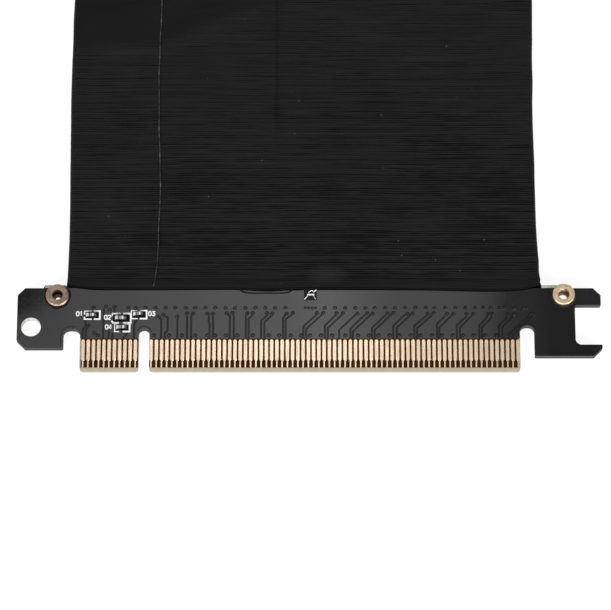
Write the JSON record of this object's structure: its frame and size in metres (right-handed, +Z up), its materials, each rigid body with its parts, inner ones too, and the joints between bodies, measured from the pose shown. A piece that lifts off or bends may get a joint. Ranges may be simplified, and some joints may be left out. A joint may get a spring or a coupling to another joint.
{
  "type": "gpu riser cable",
  "caption": "Flat riser cable for a graphics card: a gold-edged plug-in board and a slot board joined by a wide flat cable in a black ribbed cloth jacket.",
  "frame": {"origin": "middle of the underside of the whole part, on the surface that it lies on", "axes": "+X across the cable, +Y along the cable from the gold edge board to the slot board, +Z up out of the boards' upper faces"},
  "size_m": [0.112, 0.2442, 0.0135],
  "materials": {
    "solder_mask": "satin black solder mask over glass-fibre laminate",
    "brass": "bright drawn brass, lightly tarnished",
    "capacitor_body": "matt ceramic with tinned ends",
    "solder": "dull tinned copper with bright solder",
    "jacket_cloth": "matt black acetate cloth with fine cross ribs",
    "strip_insulation": "satin grey insulation",
    "shield_foil": "bright foil",
    "glue": "translucent hot-melt glue",
    "pad_plastic": "fine-grained matt black",
    "housing_plastic": "glass-filled black nylon",
    "gold_contact": "thin gold plating"
  },
  "bodies": {
    "root": {"male_board": "solder_mask", "standoff_left": "brass", "standoff_right": "brass", "capacitor_1": "capacitor_body", "capacitor_2": "capacitor_body", "capacitor_3": "capacitor_body", "capacitor_4": "capacitor_body", "ground_strap": "solder", "cable_jacket": "jacket_cloth", "upper_strip_1": "strip_insulation", "upper_strip_2": "strip_insulation", "upper_strip_3": "strip_insulation", "upper_strip_4": "strip_insulation", "lower_strip_1": "strip_insulation", "lower_strip_2": "strip_insulation", "lower_strip_3": "strip_insulation", "lower_strip_4": "strip_insulation", "shield_foil_top": "shield_foil", "shield_foil_bottom": "shield_foil", "glue_bead_male_top": "glue", "glue_bead_male_bottom": "glue", "glue_bead_slot_top": "glue", "glue_bead_slot_bottom": "glue", "slot_board": "solder_mask", "insulating_pad": "pad_plastic", "slot_housing": "housing_plastic", "contacts_front_short": "gold_contact", "contacts_rear_short": "gold_contact", "contacts_front_long": "gold_contact", "contacts_rear_long": "gold_contact"}
  },
  "joints": []
}
